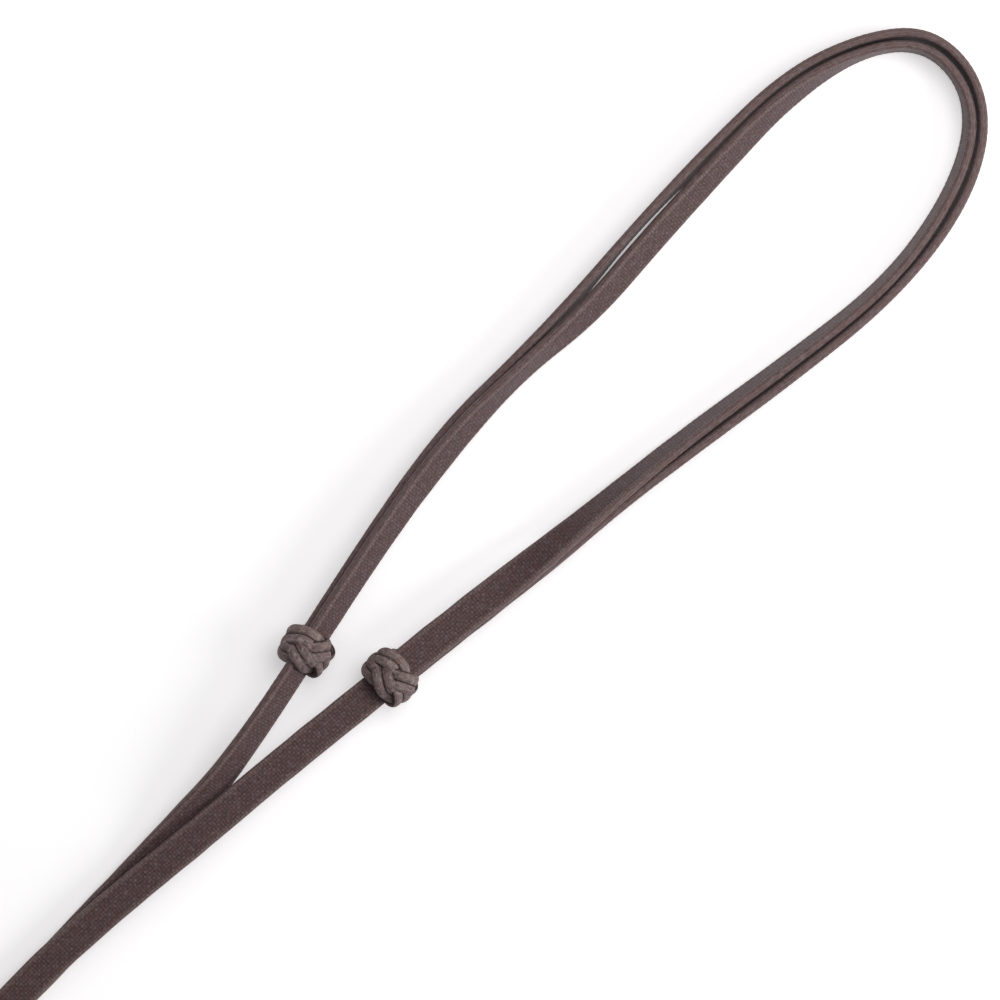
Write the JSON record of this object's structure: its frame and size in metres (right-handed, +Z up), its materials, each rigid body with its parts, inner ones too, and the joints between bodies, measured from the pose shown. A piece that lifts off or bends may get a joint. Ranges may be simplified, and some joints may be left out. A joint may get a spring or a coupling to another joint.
{
  "type": "eyeglasses strap",
  "caption": "Adjustable neck strap for glasses: two flat waxed straps with sliding knots round a neck loop, and a rubber temple loop on each end",
  "frame": {"origin": "under the middle of the whole part, on the table it lies on", "axes": "+Y from the temple loops to the tip of the neck loop, +Z up from the table, +X to the right"},
  "size_m": [0.0365, 0.3467, 0.0088],
  "materials": {
    "waxed_strap": "flat woven cotton, waxed, slight sheen, worn edges",
    "waxed_cord": "round waxed cotton cord, matt, fibrous",
    "crimp_metal": "antique nickel plate, folded sheet",
    "link_wire": "plated steel wire",
    "loop_rubber": "moulded matt rubber",
    "coil_wire": "close-wound plated steel wire"
  },
  "bodies": {
    "root": {"left_strap": "waxed_strap", "left_strap_tail": "waxed_strap", "right_strap": "waxed_strap", "right_strap_tail": "waxed_strap", "left_end_crimp": "crimp_metal", "right_end_crimp": "crimp_metal"},
    "left_knot": {"left_knot": "waxed_cord", "right_strap_tip": "waxed_strap"},
    "right_knot": {"right_knot": "waxed_cord", "left_strap_tip": "waxed_strap"},
    "left_link": {"left_end_link": "link_wire"},
    "left_loop": {"left_temple_loop": "loop_rubber"},
    "left_coil": {"left_loop_coil": "coil_wire"},
    "right_link": {"right_end_link": "link_wire"},
    "right_loop": {"right_temple_loop": "loop_rubber"},
    "right_coil": {"right_loop_coil": "coil_wire"}
  },
  "joints": [
    {"name": "left_knot_slide", "type": "slide", "parent": "root", "child": "left_knot", "axis": [-0.2164, 0.9763, 0], "range_m": [-0.007, 0.007], "deforming": ["right_strap_tail"]},
    {"name": "right_knot_slide", "type": "slide", "parent": "root", "child": "right_knot", "axis": [0.1142, 0.9935, 0], "range_m": [-0.007, 0.007], "deforming": ["left_strap_tail"]},
    {"name": "left_link_hinge", "type": "hinge", "parent": "root", "child": "left_link", "pos_m": [-0.0074, -0.1338, 0.00175], "axis": [1, 0, 0], "range_deg": [-60, 60]},
    {"name": "left_loop_hinge", "type": "hinge", "parent": "left_link", "child": "left_loop", "pos_m": [-0.0074, -0.1386, 0.00175], "axis": [1, 0, 0], "range_deg": [-75, 75]},
    {"name": "left_coil_slide", "type": "slide", "parent": "left_loop", "child": "left_coil", "axis": [0, -1, 0], "range_m": [0, 0.0055]},
    {"name": "right_link_hinge", "type": "hinge", "parent": "root", "child": "right_link", "pos_m": [0.0066, -0.1338, 0.00175], "axis": [1, 0, 0], "range_deg": [-60, 60]},
    {"name": "right_loop_hinge", "type": "hinge", "parent": "right_link", "child": "right_loop", "pos_m": [0.0066, -0.1386, 0.00175], "axis": [1, 0, 0], "range_deg": [-75, 75]},
    {"name": "right_coil_slide", "type": "slide", "parent": "right_loop", "child": "right_coil", "axis": [0, -1, 0], "range_m": [0, 0.0055]}
  ]
}
